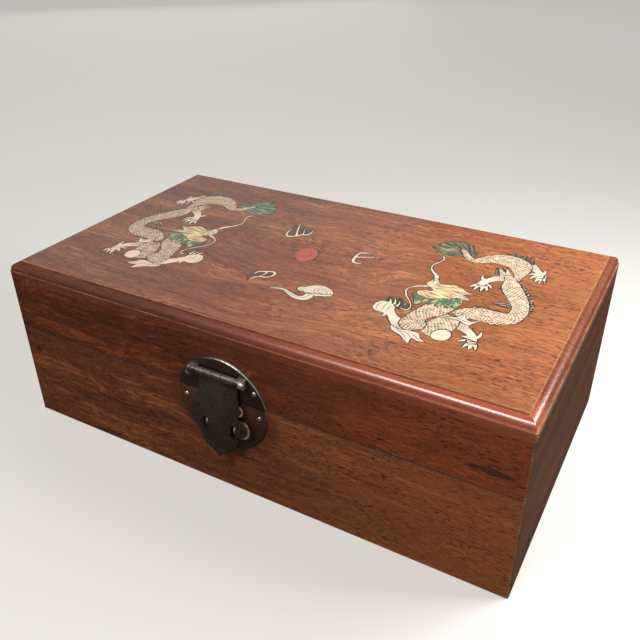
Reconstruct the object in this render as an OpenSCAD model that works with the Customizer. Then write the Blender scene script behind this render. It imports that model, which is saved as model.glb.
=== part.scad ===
// A hardwood document box with a hinged lid. Two shell dragons and a pearl are
// let into the lid, and a round lock plate with a swinging hasp closes the front.
// The origin is the centre of the underside, +X runs along the front to the
// right, +Y runs to the back and +Z is up.

/* [Box] */
// Length of the box along its front
box_w = 330; // [300:1:380]
// Depth of the box from front to back
box_d = 190; // [170:1:230]
// Height of the closed box
box_h = 112.5; // [108:0.5:140]
// Height of the joint between base and lid
parting_z = 67; // [60:0.5:74]
// Thickness of the side boards
wall_t = 10; // [8:0.5:13]
// Radius of the worn upright corners
corner_r = 1.5; // [0.5:0.1:3]
// Chamfer along the arrises that meet at the joint and at the floor
arris = 0.6; // [0.3:0.1:1]

/* [Bottom] */
// Thickness of the bottom panel
bottom_t = 7; // [5:0.5:10]
// Width of the rebate that holds the bottom panel
rebate_w = 5; // [3:0.5:7]
// Clearance around the bottom panel in its rebate
panel_gap = 0.1; // [0.05:0.05:0.3]

/* [Moulded top] */
// Thickness of the top board
top_t = 10.3; // [9:0.1:14]
// Height of the moulding from its lower arris to the flat field
mould_h = 5.5; // [5:0.1:6.5]
// Width of the ledge at the foot of the ovolo
ledge_w = 0.9; // [0.4:0.1:1.5]
// Radius of the ovolo
ovolo_r = 3.8; // [3:0.1:4]
// Depth of the quirk between ovolo and field
quirk_h = 0.9; // [0.4:0.1:1]
// Width of the quirk between ovolo and field
quirk_w = 1; // [0.5:0.1:2]

/* [Inlay] */
// Thickness of the shell, and the depth of the pockets that hold it
shell_t = 0.9; // [0.5:0.1:1.5]
// Width of the whiskers
whisker_w = 1.3; // [0.8:0.1:2]

/* [Lock plate] */
// Radius of the round lock plate
plate_r = 30; // [26:0.5:34]
// Thickness of the lock plate
plate_t = 1.2; // [0.8:0.1:1.6]
// Distance of the lock from the middle of the front, positive to the right
lock_x = -5.5; // [-12:0.5:12]
// Distance of the plate's centre below the joint
plate_drop = 5.4; // [3:0.1:8]
// Gap between the upper and the lower half of the plate
plate_gap = 0.3; // [0.2:0.1:0.8]
// Height of the hasp's pin above the joint
pin_rise = 15.5; // [13:0.1:18]

/* [Hasp] */
// Radius of the hinge pin
pin_r = 1.2; // [1:0.1:1.3]
// Radial clearance of the pins in their knuckles
pin_gap = 0.05; // [0.02:0.01:0.1]
// Outer radius of the knuckles
knuckle_r = 2.5; // [2.3:0.1:3]
// Length of the hasp's own knuckle
hasp_neck = 26; // [22:0.5:30]
// Length of each fixed eye beside it
eye_w = 5; // [4:0.5:7]
// Side clearance between two knuckles
knuckle_gap = 0.4; // [0.2:0.1:0.6]
// Thickness of the hasp's sheet
hasp_t = 0.8; // [0.6:0.1:1.2]
// Length of the hasp from its pin to its tip
hasp_l = 54; // [52:0.5:60]
// Angle at which the hasp hangs away from the plate
hang = 6; // [5:0.5:10]
// Clearance between knuckle and plate, and between hasp and staples
swing_gap = 0.25; // [0.2:0.05:0.5]

/* [Staples] */
// Distance between the two staples
staple_pitch = 19; // [17:0.5:20]
// Distance of the staples below the pin
staple_arm = 34; // [32:0.5:36]
// Radius of the staple wire
staple_r = 0.75; // [0.5:0.05:0.8]
// Outer height of a staple, along the slot
staple_h = 6.5; // [5:0.5:6.5]
// Width of the slots in the hasp
slot_w = 3.4; // [2.2:0.1:4]
// Height of the slots in the hasp
slot_h = 8.4; // [8:0.1:9.5]

/* [Hinges] */
// Distance of each hinge's middle from the end of the box
hinge_end = 65; // [45:1:85]
// Width of a hinge
hinge_w = 32; // [26:1:40]
// Height of each hinge leaf
leaf_h = 24; // [20:0.5:28]
// Thickness of the hinge leaves
leaf_t = 1.1; // [0.8:0.1:1.4]
// Gap between the hinge knuckles and the back
hinge_gap = 0.2; // [0.1:0.1:0.4]

/* [Nails] */
// Radius of a nail head
nail_head_r = 1.6; // [1.5:0.1:2.4]
// Height of a nail head
nail_head_h = 0.8; // [0.6:0.1:1.2]
// Radius of a nail shank
nail_r = 0.7; // [0.5:0.1:0.9]
// Length of a nail below its head
nail_l = 8; // [5:0.5:8.5]
// Clearance around a shank in its hole
nail_gap = 0.05; // [0.02:0.01:0.1]

/* [Hidden] */
$fn = 48;

// Finishes
wood = [0.42, 0.17, 0.09];
wood_top = [0.50, 0.22, 0.11];
bronze = [0.35, 0.26, 0.18];
brass = [0.62, 0.48, 0.27];
shell_cream = [0.88, 0.80, 0.72];
shell_green = [0.36, 0.56, 0.46];
shell_yellow = [0.86, 0.78, 0.55];
shell_grey = [0.62, 0.58, 0.56];
shell_rose = [0.74, 0.32, 0.28];

// Places worked out from the sizes above
front_y = -box_d / 2;
back_y = box_d / 2;
side_top_z = box_h - top_t;
mould_z = box_h - mould_h;
field_inset = ledge_w + ovolo_r + quirk_w;
plate_z = parting_z - plate_drop;
pin_z = parting_z + pin_rise;
pin_y = front_y - plate_t - swing_gap - knuckle_r;
bore_r = pin_r + pin_gap;
hinge_x = box_w / 2 - hinge_end;
hinge_y = back_y + hinge_gap + knuckle_r;
staple_z = pin_z - staple_arm;
leaf_cut = knuckle_r + knuckle_gap;
hinge_knuckle = (hinge_w - 2 * knuckle_gap) / 3;

// The hasp's sheet leaves its knuckle on the side of the plate. This is how far
// its inner face stands from the front board where the staples are.
hasp_inner = (front_y - pin_y) - knuckle_r / cos(hang) + staple_arm * tan(hang);
staple_reach = hasp_inner - swing_gap;

// Nails: [across, up] from the middle of the plate or leaf they hold
upper_nails = [[-22.5, pin_z - plate_z - 6], [22.5, pin_z - plate_z - 6]];
lower_nails = [[-25, -1], [25, -1]];
leaf_nails = [[-hinge_w / 3, leaf_h * 0.42], [hinge_w / 3, leaf_h * 0.42], [0, leaf_h * 0.78]];

// The inlay is drawn for a field of this width and fits any other one
drawing_w = 318.6;
fit = (box_w - 2 * field_inset) / drawing_w;

// The left dragon is the right one turned over about this line, and a little lower
turn_x = -1.5;
turn_drop = 1.5;

// ---- Curves ----------------------------------------------------------------

// A point between b and c on a smooth curve through a, b, c and d
function between(a, b, c, d, t) =
    b + 0.5 * t * (c - a + t * (2 * a - 5 * b + 4 * c - d + t * (3 * (b - c) + d - a)));

// A closed smooth curve through the points, with steps points for each of them
function smooth_loop(p, steps = 3) = [
    for (i = [0:len(p) - 1]) for (k = [0:steps - 1])
        between(p[(i + len(p) - 1) % len(p)], p[i], p[(i + 1) % len(p)], p[(i + 2) % len(p)], k / steps)
];

// An open smooth curve through the points
function smooth_line(p, steps = 3) = [
    for (i = [0:len(p) - 2]) for (k = [0:(i == len(p) - 2 ? steps : steps - 1)])
        between(p[max(i - 1, 0)], p[i], p[i + 1], p[min(i + 2, len(p) - 1)], k / steps)
];

// The point on one side of a line of [x, y, width], half a width away from it
function edge_point(q, i, side) =
    let (d = q[min(i + 1, len(q) - 1)] - q[max(i - 1, 0)], n = norm([d[0], d[1]]))
    [q[i][0] - side * d[1] / n * q[i][2] / 2, q[i][1] + side * d[0] / n * q[i][2] / 2];

// A strip along a list of [x, y, width]
module strip(p, steps = 3) {
    q = smooth_line(p, steps) * fit;
    last = len(q) - 1;
    polygon(concat(
        [for (i = [0:last]) edge_point(q, i, 1)],
        [for (i = [last:-1:0]) edge_point(q, i, -1)]
    ));
}

// A smooth closed shape through the points
module leaf_shape(p, steps = 3) polygon(smooth_loop(p, steps) * fit);

// A round disc of shell
module disc(x, y, r) translate([x * fit, y * fit]) circle(r * fit);

// Straight pointed spikes, each a list of base, tip and base
module spikes(list) for (p = list) polygon(p * fit);

// ---- Outlines of the right dragon -------------------------------------------

module head_outline()
    leaf_shape([
        [73.5, 3], [74.5, 8], [76.5, 11], [79, 8], [81, 5.5], [85, 6], [89, 8], [92, 7],
        [95, 5.5], [98, 3.2], [102, 2.5], [99.5, 0.2], [97, -1.5], [100, -3], [103, -6.5],
        [99, -6.8], [95, -6.5], [92, -9], [88, -10.5], [85, -13], [80, -14.2], [75, -13],
        [72.5, -10], [74, -6.5], [78, -5.5], [80, -4], [77, -1.5], [74.5, 0]
    ], 2);

module mane_outline()
    leaf_shape([
        [71, -12], [76, -11], [84, -10], [91, -7], [97, -5.5], [100, -10], [99.5, -15],
        [98.5, -19], [96, -16.5], [93.5, -20], [91, -17], [88.5, -21], [86, -18],
        [83.5, -21.5], [81, -18.5], [79, -22], [77, -24.5], [74.5, -19]
    ], 2);

// Flames that rise from the shoulder and the elbow, and the round knee
module flames_outline() {
    leaf_shape([
        [96, -30.5], [99, -27.5], [102.5, -26], [105, -20.5], [107, -25], [110.5, -26.8],
        [115.5, -23.5], [113, -27.5], [111, -31.5], [107.5, -30.8], [104, -29], [99.5, -29.5]
    ], 2);
    leaf_shape([
        [75, -50], [80, -52], [85, -50.5], [91, -51], [93.5, -55], [97, -57.5], [92.5, -58.5],
        [89.5, -57], [90, -62.5], [86, -60], [82.5, -57], [77, -54.5]
    ], 2);
    leaf_shape([
        [98.5, -43], [102.5, -40.8], [106, -43.5], [106.8, -47.5], [105, -51.5],
        [101, -53], [97.5, -51.5], [96.5, -47]
    ], 2);
}

module neck_outline()
    strip([[93, -16, 12], [89, -24, 15], [85, -31, 11], [83.5, -38, 11.5], [84.5, -44, 15], [88, -49, 9]]);

module chest_outline()
    strip([[100, -26, 9], [99.5, -33, 13.5], [98, -39, 15], [95.5, -45, 12], [93, -50, 7]]);

module flank_outline()
    strip([
        [112, 34, 5], [115, 29, 7], [117, 24, 10], [119, 18.5, 12.5], [124, 10.5, 12],
        [129, 1, 10], [130, -8, 9.5], [127.5, -14.5, 11.5], [120, -17.5, 14],
        [112, -17.5, 14], [106, -20, 12], [101.5, -25, 9]
    ]);

module rump_outline()
    strip([
        [76, 55, 2], [79.5, 51.5, 4.5], [83.5, 46, 5], [88, 43.5, 5.5], [92.5, 46.5, 8],
        [97.5, 51, 12], [103.5, 53, 15.5], [109.5, 52.5, 16], [114.5, 49.5, 15],
        [117, 43, 11], [118, 36, 6], [118.5, 29, 3]
    ]);

module tail_fin_outline()
    leaf_shape([
        [57, 50.5], [61, 54], [60.5, 58.5], [64, 60.5], [65, 64.5], [69.5, 64], [73.5, 67.5],
        [77, 64.5], [81, 64], [82.5, 59], [85.5, 55], [87, 50], [80, 45], [75, 43.5],
        [69, 43], [64, 46]
    ], 2);

// One claw: a strip that ends in a point
module claw(from, middle, tip, w = 2.8)
    strip([[from[0], from[1], w], [middle[0], middle[1], 0.8 * w], [tip[0], tip[1], 0.25 * w]]);

module hind_legs_outline() {
    strip([[120, 54, 7], [124, 49.5, 6], [127.5, 45, 4.5], [129, 41.5, 5]]);
    disc(129, 41.5, 2.6);
    claw([129.5, 44], [130, 47.5], [129.5, 50.5]);
    claw([130.5, 43], [132.5, 38], [133.5, 34]);
    claw([130, 40.5], [130.8, 36], [130.5, 32]);
    claw([128.5, 40], [128.3, 36], [127.6, 32.5]);
    claw([127.5, 41.5], [125, 38.5], [124.5, 35]);
    claw([127, 43], [123.8, 42.2], [121.8, 40]);
    strip([[114, 30.5, 8], [108.5, 27.5, 7], [104.5, 23.5, 5], [102, 18.5, 5.5], [101.5, 15, 5]]);
    disc(102, 16, 2.8);
    claw([102.5, 21], [99.8, 23.5], [99.3, 27]);
    claw([100.5, 16.5], [98.3, 12.5], [96.3, 9.5]);
    claw([101, 15], [100.5, 11], [100, 7.5]);
    claw([102.5, 15], [103.7, 11], [104, 7]);
    claw([103, 16.5], [106, 12.5], [107, 9]);
    claw([103.5, 18], [106.8, 16], [109, 13]);
    // The flame of the thigh
    spikes([[[109, 28], [103.8, 41.5], [113, 34]], [[111, 30], [108.3, 43.5], [117, 31]]]);
}

module fore_legs_outline() {
    strip([[105, -31.5, 8], [109, -35, 7], [113.5, -38, 5.5], [116.5, -41.5, 5], [117.5, -45.5, 5.5]]);
    disc(117.6, -46, 2.8);
    claw([118, -42], [119.3, -38.5], [119, -34.5]);
    claw([116, -42.5], [113, -42.8], [110.3, -43.2]);
    claw([116, -45], [113, -46.8], [110.8, -49]);
    claw([116.7, -47], [115.8, -50.5], [115, -54]);
    claw([118, -47.5], [118.4, -51], [118.4, -54]);
    claw([119, -46.5], [120.8, -49.5], [121.8, -52.8]);
    strip([[86, -48, 9], [80, -47.5, 9.5], [75, -44.5, 7.5], [71, -40.5, 5.5], [68, -37, 6]]);
    claw([66.5, -38.5], [67.5, -41.8], [67, -44.5], 2.6);
    claw([65, -29], [63.8, -26.5], [62.6, -23.5], 2);
    claw([67.5, -29.5], [66.8, -26.5], [65, -22.5], 2);
    claw([69.3, -31], [69.6, -27.5], [68, -22.8], 2);
    leaf_shape([
        [57.5, -32], [60, -28.5], [64, -28], [68, -30.5], [70, -34], [69, -38],
        [65, -40.5], [60, -40], [57.5, -36.5]
    ], 2);
}

// Fins, spines and the dark gaps between claws and flames
module spines_outline() {
    spikes([
        [[102, 59], [107, 65.8], [110.5, 60.5]],
        [[109, 60], [114.6, 66.2], [117, 58]],
        [[115.5, 58], [118.6, 66], [122, 54]],
        [[121, 26], [126, 23.5], [125, 17.5]],
        [[124.5, 19.5], [130.2, 18], [129, 12]],
        [[128.5, 13.8], [133.8, 12], [132, 6.5]],
        [[131.8, 8.2], [136, 5], [134, -1]],
        [[105, -14], [107, -8.4], [110.5, -11.5]],
        [[110, -12], [113.4, -7.6], [116.5, -11.5]],
        [[116, -12], [119.6, -7.8], [122.5, -12]],
        [[104.5, 32], [103, 41], [108.5, 36]],
        [[108, 35], [106.3, 42], [111.5, 37]],
        [[103.5, 11], [105.8, 7], [104.5, 14]],
        [[98.5, 15], [98.5, 9], [101, 13]]
    ]);
    strip([[121.5, 26.5, 1.5], [125.5, 20, 2.6], [129.8, 14, 2.6], [133.2, 7, 2.4], [134.8, 0, 1.8], [135, -7, 1.2]]);
    leaf_shape([[114.5, -2.8], [118, 0.8], [124.8, 1.2], [126, -1.5], [121.5, -4.2], [117.5, -3.6]], 2);
    leaf_shape([
        [62, -27.5], [62, -22.8], [65.5, -23], [68.8, -21], [70.8, -24.5], [75, -25.5],
        [76, -28.5], [74.5, -31], [70, -33], [66, -30]
    ], 2);
}

module whiskers_outline() {
    strip([
        [76, -1, 1.8 * whisker_w], [71, -3, 1.4 * whisker_w], [67.5, -6.5, whisker_w],
        [66.5, -11, whisker_w], [69, -16.5, whisker_w], [73, -21.5, whisker_w],
        [76, -26.5, whisker_w], [76.3, -30.8, whisker_w], [74, -32, whisker_w], [71.3, -30.8, 0.8 * whisker_w]
    ]);
    strip([
        [76.5, 9, 2.4 * whisker_w], [75.3, 13.5, 2.2 * whisker_w], [71.5, 17.5, 1.6 * whisker_w],
        [68.6, 22, 1.2 * whisker_w], [68.2, 27, whisker_w], [70.2, 32, whisker_w],
        [71.2, 36, whisker_w], [69.5, 39.8, whisker_w], [66.5, 40.2, 0.7 * whisker_w]
    ]);
}

// The dragon's pieces in the order in which they were fitted: each one is cut to
// lie against those before it.
HEAD = 0;
MANE = 1;
FLAMES = 2;
NECK = 3;
CHEST = 4;
FLANK = 5;
RUMP = 6;
TAIL_FIN = 7;
FORE_LEGS = 8;
HIND_LEGS = 9;
WHISKERS = 10;
SPINES = 11;

module dragon_outline(piece) {
    if (piece == HEAD) head_outline();
    if (piece == MANE) mane_outline();
    if (piece == FLAMES) flames_outline();
    if (piece == NECK) neck_outline();
    if (piece == CHEST) chest_outline();
    if (piece == FLANK) flank_outline();
    if (piece == RUMP) rump_outline();
    if (piece == TAIL_FIN) tail_fin_outline();
    if (piece == FORE_LEGS) fore_legs_outline();
    if (piece == HIND_LEGS) hind_legs_outline();
    if (piece == WHISKERS) whiskers_outline();
    if (piece == SPINES) spines_outline();
}

module fitted_outline(piece)
    difference() {
        dragon_outline(piece);
        for (before = [0:1:piece - 1]) dragon_outline(before);
    }

// Puts a drawing where the right or the left dragon lies
module on_side(side) {
    if (side == "left")
        translate([2 * turn_x * fit, -turn_drop * fit]) mirror([1, 0]) children();
    else
        children();
}

// ---- Outlines between the dragons -------------------------------------------

module pearl_outline()
    leaf_shape([[0.3, 2], [-1.5, 8], [-6, 12], [-12, 11], [-14.5, 5], [-14, -1],
        [-9.5, -6.5], [-4.5, -8.2], [-1, -3.5]], 4);

module flame_comb_outline() {
    strip([[-36, 31, 0.8], [-35.5, 26, 1.4], [-34, 21.8, 1.8], [-31, 20.8, 2.2], [-28, 23.5, 2],
        [-25, 27, 1.8], [-22, 28.8, 1.8], [-21, 32, 1.6], [-22.3, 38.5, 0.8]]);
    strip([[-28, 24.5, 1.8], [-31, 31, 1.6], [-33, 36, 1.3], [-35, 41.5, 0.7]]);
    strip([[-24.5, 27, 1.6], [-26.5, 32.5, 1.3], [-29.5, 39.5, 0.7]]);
}

module flame_hook_outline() {
    strip([[28.5, 23.2, 1], [24.5, 21.9, 1.8], [21.6, 20, 2], [21.2, 16, 2], [21.8, 11, 2.2],
        [23, 7.5, 2.2], [26, 6.3, 2], [28.8, 7.3, 1.2]]);
    strip([[21.5, 13.8, 2], [26, 15.6, 1.8], [32, 18.8, 1.2]]);
}

module small_cloud_outline() {
    strip([[-19.8, -43.5, 0.9], [-19, -39, 1.4], [-16, -36.8, 1.5], [-12, -35.3, 1.6],
        [-10.2, -32, 1.8], [-11, -28.5, 2], [-14, -28, 2], [-17.5, -30, 1.8],
        [-20.5, -31.5, 1.6], [-21.5, -35, 0.9]]);
    strip([[-15.5, -28.5, 1.4], [-15.6, -33, 1.2], [-17, -37, 1]]);
}

module ruyi_cloud_outline() {
    strip([[-4, -45, 1], [1, -43.8, 2.2], [5, -43.5, 2.4], [10, -46, 3.2], [16, -48, 4.2],
        [20.5, -46, 6], [21, -41, 5]]);
    leaf_shape([[32.5, -36], [30, -31.5], [25, -29.3], [20, -29.5], [16, -32], [14, -35.5],
        [15.5, -39.5], [19, -42], [25, -41.8], [30, -40.5]], 2);
    disc(13.3, -37.8, 2.8);
}

// The grounds of the comb and the small cloud, before the shell is cut out of them
module fillings_outline() {
    leaf_shape([[-36.3, 39], [-36.3, 32], [-35, 24], [-31, 21.5], [-27, 24.8], [-22.5, 28.8],
        [-21.5, 34], [-23, 37.5], [-27, 35], [-29, 39], [-32, 34]], 2);
    leaf_shape([[-24.5, -38.5], [-21.5, -35], [-20.5, -31.5], [-16, -29.5], [-11.5, -29],
        [-11, -34], [-16, -37], [-19.4, -40], [-20.5, -44.8], [-22, -41]], 2);
}

// Every pocket in the top board
module inlay_plan() {
    for (side = ["left", "right"])
        on_side(side)
            for (piece = [HEAD:SPINES]) dragon_outline(piece);
    pearl_outline();
    flame_comb_outline();
    flame_hook_outline();
    small_cloud_outline();
    ruyi_cloud_outline();
    fillings_outline();
}

// A piece of shell that fills its pocket and lies flush with the field
module shell_piece(finish)
    color(finish)
        translate([0, 0, box_h - shell_t])
            linear_extrude(shell_t)
                children();

module dragon_piece(piece, side, finish)
    shell_piece(finish) on_side(side) fitted_outline(piece);

module pearl() shell_piece(shell_rose) pearl_outline();
module flame_comb() shell_piece(shell_cream) flame_comb_outline();
module flame_hook() shell_piece(shell_cream) flame_hook_outline();
module small_cloud() shell_piece(shell_cream) small_cloud_outline();
module ruyi_cloud() shell_piece(shell_cream) ruyi_cloud_outline();

module dark_fillings()
    shell_piece(shell_grey)
        difference() {
            fillings_outline();
            flame_comb_outline();
            small_cloud_outline();
        }

// ---- Nails ------------------------------------------------------------------

// A domed nail along Z: the head stands on z = 0 and the shank goes down
module nail() {
    dome_r = (nail_head_r * nail_head_r + nail_head_h * nail_head_h) / (2 * nail_head_h);
    intersection() {
        translate([0, 0, nail_head_h - dome_r]) sphere(dome_r);
        cylinder(r = nail_head_r, h = 2 * nail_head_h);
    }
    translate([0, 0, -nail_l]) cylinder(r = nail_r, h = nail_l);
}

// The hole that a nail needs
module nail_hole()
    translate([0, 0, -nail_l - nail_gap]) cylinder(r = nail_r + nail_gap, h = nail_l + nail_head_h);

// Puts children, drawn along Z, on the front at [across, height] and a distance out
module on_front(x, z, out) translate([x, front_y - out, z]) rotate([90, 0, 0]) children();
module on_back(x, z, out) translate([x, back_y + out, z]) rotate([-90, 0, 0]) children();

module at_upper_nails() for (n = upper_nails) on_front(lock_x + n[0], plate_z + n[1], plate_t) children();
module at_lower_nails() for (n = lower_nails) on_front(lock_x + n[0], plate_z + n[1], plate_t) children();

// way is 1 for the leaves on the lid and -1 for those on the base
module at_leaf_nails(way)
    for (side = [-1, 1], n = leaf_nails)
        on_back(side * hinge_x + n[0], parting_z + way * n[1], leaf_t) children();

module upper_plate_nails() color(brass) at_upper_nails() nail();
module lower_plate_nails() color(brass) at_lower_nails() nail();
module base_leaf_nails() color(brass) at_leaf_nails(-1) nail();
module lid_leaf_nails() color(brass) at_leaf_nails(1) nail();

// ---- Boards -----------------------------------------------------------------

module rounded_plan(w, d, r) {
    square([w - 2 * r, d], center = true);
    square([w, d - 2 * r], center = true);
    for (x = [-1, 1], y = [-1, 1]) translate([x * (w / 2 - r), y * (d / 2 - r)]) circle(r);
}

// A board along X at y = -d / 2 of a w by d box, mitred at both ends. The child
// is its section, drawn as [distance from the outer face, height].
module mitred_board(w, d)
    intersection() {
        translate([-w / 2, -d / 2, 0]) rotate([90, 0, 90]) linear_extrude(w) children();
        linear_extrude(box_h)
            intersection() {
                polygon([[-w / 2, -d / 2], [w / 2, -d / 2],
                    [w / 2 - wall_t, wall_t - d / 2], [wall_t - w / 2, wall_t - d / 2]]);
                rounded_plan(w, d, corner_r);
            }
    }

// Turns the front board of a box into any of the four: 0 front, 1 right, 2 back, 3 left
module wall_board(place)
    rotate([0, 0, 90 * place])
        mitred_board(place % 2 == 0 ? box_w : box_d, place % 2 == 0 ? box_d : box_w)
            children();

// The base boards stand on the floor and hold the bottom panel in a rebate
module base_section()
    polygon([[arris, 0], [rebate_w, 0], [rebate_w, bottom_t], [wall_t, bottom_t],
        [wall_t, parting_z], [arris, parting_z], [0, parting_z - arris], [0, arris]]);

module lid_section()
    polygon([[arris, parting_z], [wall_t, parting_z], [wall_t, side_top_z],
        [0, side_top_z], [0, parting_z + arris]]);

module base_front_board()
    color(wood)
        difference() {
            wall_board(0) base_section();
            at_lower_nails() nail_hole();
            at_staples() staple_legs(staple_r + nail_gap, nail_gap);
        }

module base_right_board() color(wood) wall_board(1) base_section();

module base_back_board()
    color(wood)
        difference() {
            wall_board(2) base_section();
            at_leaf_nails(-1) nail_hole();
        }

module base_left_board() color(wood) wall_board(3) base_section();

module base_bottom_panel()
    color(wood)
        linear_extrude(bottom_t)
            square([box_w - 2 * rebate_w - 2 * panel_gap, box_d - 2 * rebate_w - 2 * panel_gap], center = true);

module lid_front_board()
    color(wood)
        difference() {
            wall_board(0) lid_section();
            at_upper_nails() nail_hole();
        }

module lid_right_board() color(wood) wall_board(1) lid_section();

module lid_back_board()
    color(wood)
        difference() {
            wall_board(2) lid_section();
            at_leaf_nails(1) nail_hole();
        }

module lid_left_board() color(wood) wall_board(3) lid_section();

// The section of the top board: a square edge, a ledge, an ovolo, a quirk and the field
module top_section(w) {
    foot = w / 2 - ledge_w;
    ovolo_z = box_h - quirk_h - ovolo_r;
    translate([-w / 2, side_top_z]) square([w, mould_z - side_top_z]);
    translate([-foot, side_top_z]) square([2 * foot, ovolo_z - side_top_z]);
    translate([ovolo_r - foot, side_top_z]) square([2 * (foot - ovolo_r), ovolo_z + ovolo_r - side_top_z]);
    for (side = [-1, 1]) translate([side * (foot - ovolo_r), ovolo_z]) circle(ovolo_r);
    translate([field_inset - w / 2, side_top_z]) square([w - 2 * field_inset, top_t]);
}

module lid_top_board()
    color(wood_top)
        difference() {
            intersection() {
                translate([-box_w / 2, 0, 0]) rotate([90, 0, 90]) linear_extrude(box_w) top_section(box_d);
                translate([0, box_d / 2, 0]) rotate([90, 0, 0]) linear_extrude(box_d) top_section(box_w);
                linear_extrude(box_h) rounded_plan(box_w, box_d, corner_r);
            }
            translate([0, 0, box_h - shell_t]) linear_extrude(2 * shell_t) inlay_plan();
        }

// ---- Lock -------------------------------------------------------------------

// A round plate with a bevelled rim, lying on the front board
module round_plate()
    on_front(lock_x, plate_z, 0)
        rotate_extrude()
            polygon([[0, 0], [plate_r, 0], [plate_r, plate_t / 2], [plate_r - plate_t / 2, plate_t], [0, plate_t]]);

// All that lies above (way 1) or below (way -1) the joint, less half the plate's gap
module beyond_joint(way)
    translate([
        lock_x - 2 * plate_r,
        front_y - 2 * plate_t,
        parting_z + way * plate_gap / 2 - (way < 0 ? 2 * plate_r : 0)
    ])
        cube([4 * plate_r, 3 * plate_t, 2 * plate_r]);

module lower_lock_plate()
    color(bronze)
        difference() {
            intersection() {
                round_plate();
                beyond_joint(-1);
            }
            at_lower_nails() nail_hole();
            at_staples() staple_legs(staple_r + nail_gap, nail_gap);
        }

// A bar along X with the hasp's pin as its axis
module on_pin(x, w)
    translate([lock_x + x - w / 2, pin_y, pin_z]) rotate([90, 0, 90]) linear_extrude(w) children();

eye_x = hasp_neck / 2 + knuckle_gap + eye_w / 2;

module upper_lock_plate()
    color(bronze)
        difference() {
            union() {
                intersection() {
                    round_plate();
                    beyond_joint(1);
                }
                for (side = [-1, 1]) {
                    on_pin(side * eye_x, eye_w) circle(knuckle_r);
                    // The tail of the rolled eye runs back into the plate
                    translate([lock_x + side * eye_x - eye_w / 2, pin_y, pin_z + bore_r])
                        cube([eye_w, front_y - plate_t / 2 - pin_y, knuckle_r - bore_r]);
                }
            }
            on_pin(0, 2 * (eye_x + eye_w)) circle(bore_r);
            at_upper_nails() nail_hole();
        }

module hasp_pin()
    color(brass) {
        on_pin(0, 2 * eye_x + eye_w) circle(pin_r);
        // Both ends are hammered over the eyes
        for (side = [-1, 1]) on_pin(side * (eye_x + eye_w / 2 + pin_r / 4), pin_r / 2) circle(pin_r * 1.4);
    }

// The cloud-shaped sheet of the hasp, drawn as [across, distance below the pin]:
// a straight neck, a curl and a lobe on each side, and a round foot with a tip
module hasp_outline() {
    neck = hasp_neck / 2;
    curl_r = 3.4;
    curl_drop = 19;
    lobe_r = 5.8;
    lobe_drop = 30.5;
    lobe_out = 2;
    foot_drop = 38;
    translate([-neck, 0]) square([2 * neck, foot_drop]);
    for (side = [-1, 1]) {
        translate([side * neck, curl_drop]) circle(curl_r);
        translate([side * (neck + lobe_out), lobe_drop]) circle(lobe_r);
    }
    translate([0, foot_drop]) circle(neck);
    polygon([[-8, 46], [-5, 49.5], [-2, 51.8], [0, hasp_l], [2, 51.8], [5, 49.5], [8, 46]]);
}

module hasp_slots()
    for (side = [-1, 1])
        translate([side * staple_pitch / 2, staple_arm]) {
            square([slot_w, slot_h - slot_w], center = true);
            for (end = [-1, 1]) translate([0, end * (slot_h - slot_w) / 2]) circle(slot_w / 2);
        }

module hasp()
    color(bronze)
        translate([lock_x, pin_y, pin_z])
            rotate([-hang, 0, 0])
                difference() {
                    union() {
                        rotate([0, 90, 0]) cylinder(r = knuckle_r, h = hasp_neck, center = true);
                        translate([0, knuckle_r, 0])
                            rotate([-90, 0, 0])
                                translate([0, 0, -hasp_t])
                                    linear_extrude(hasp_t)
                                        difference() {
                                            hasp_outline();
                                            hasp_slots();
                                        }
                    }
                    rotate([0, 90, 0]) cylinder(r = bore_r, h = 2 * hasp_neck, center = true);
                }

module at_staples()
    for (side = [-1, 1])
        translate([lock_x + side * staple_pitch / 2, front_y, staple_z]) children();

bow_r = staple_h / 2 - staple_r;

// The two legs of a staple, from the foot of its bow into the wood
module staple_legs(r, spare = 0)
    for (end = [-1, 1])
        translate([0, 0, end * bow_r])
            rotate([90, 0, 0])
                translate([0, 0, -nail_l - spare])
                    cylinder(r = r, h = nail_l + spare + staple_reach - bow_r - staple_r);

module lock_staples()
    color(brass)
        at_staples() {
            staple_legs(staple_r);
            translate([0, bow_r + staple_r - staple_reach, 0])
                rotate([0, 90, 0])
                    rotate([0, 0, 180])
                        rotate_extrude(angle = 180) translate([bow_r, 0]) circle(staple_r);
        }

// ---- Hinges -----------------------------------------------------------------

// Knuckles of a hinge: 0 is the middle one, -1 and 1 are the outer ones
module hinge_knuckle(x, place, r)
    translate([x + place * (hinge_knuckle + knuckle_gap), hinge_y, parting_z])
        rotate([0, 90, 0])
            cylinder(r = r, h = hinge_knuckle, center = true);

// A leaf on the back of the box, cut away beside the other leaf's knuckles.
// way is 1 on the lid and -1 on the base, places are its own knuckles.
module hinge_leaf(x, way, places)
    difference() {
        union() {
            translate([x - hinge_w / 2, back_y, way > 0 ? parting_z + leaf_cut : parting_z - leaf_h])
                cube([hinge_w, leaf_t, leaf_h - leaf_cut]);
            for (place = places) {
                hinge_knuckle(x, place, knuckle_r);
                translate([
                    x + place * (hinge_knuckle + knuckle_gap) - hinge_knuckle / 2,
                    back_y,
                    way > 0 ? parting_z : parting_z - leaf_cut
                ])
                    cube([hinge_knuckle, leaf_t, leaf_cut]);
            }
        }
        translate([x, hinge_y, parting_z]) rotate([0, 90, 0]) cylinder(r = bore_r, h = 2 * hinge_w, center = true);
        at_leaf_nails(way) nail_hole();
    }

module hinge_pin(x)
    color(brass)
        translate([x, hinge_y, parting_z])
            rotate([0, 90, 0])
                cylinder(r = pin_r, h = hinge_w, center = true);

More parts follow.
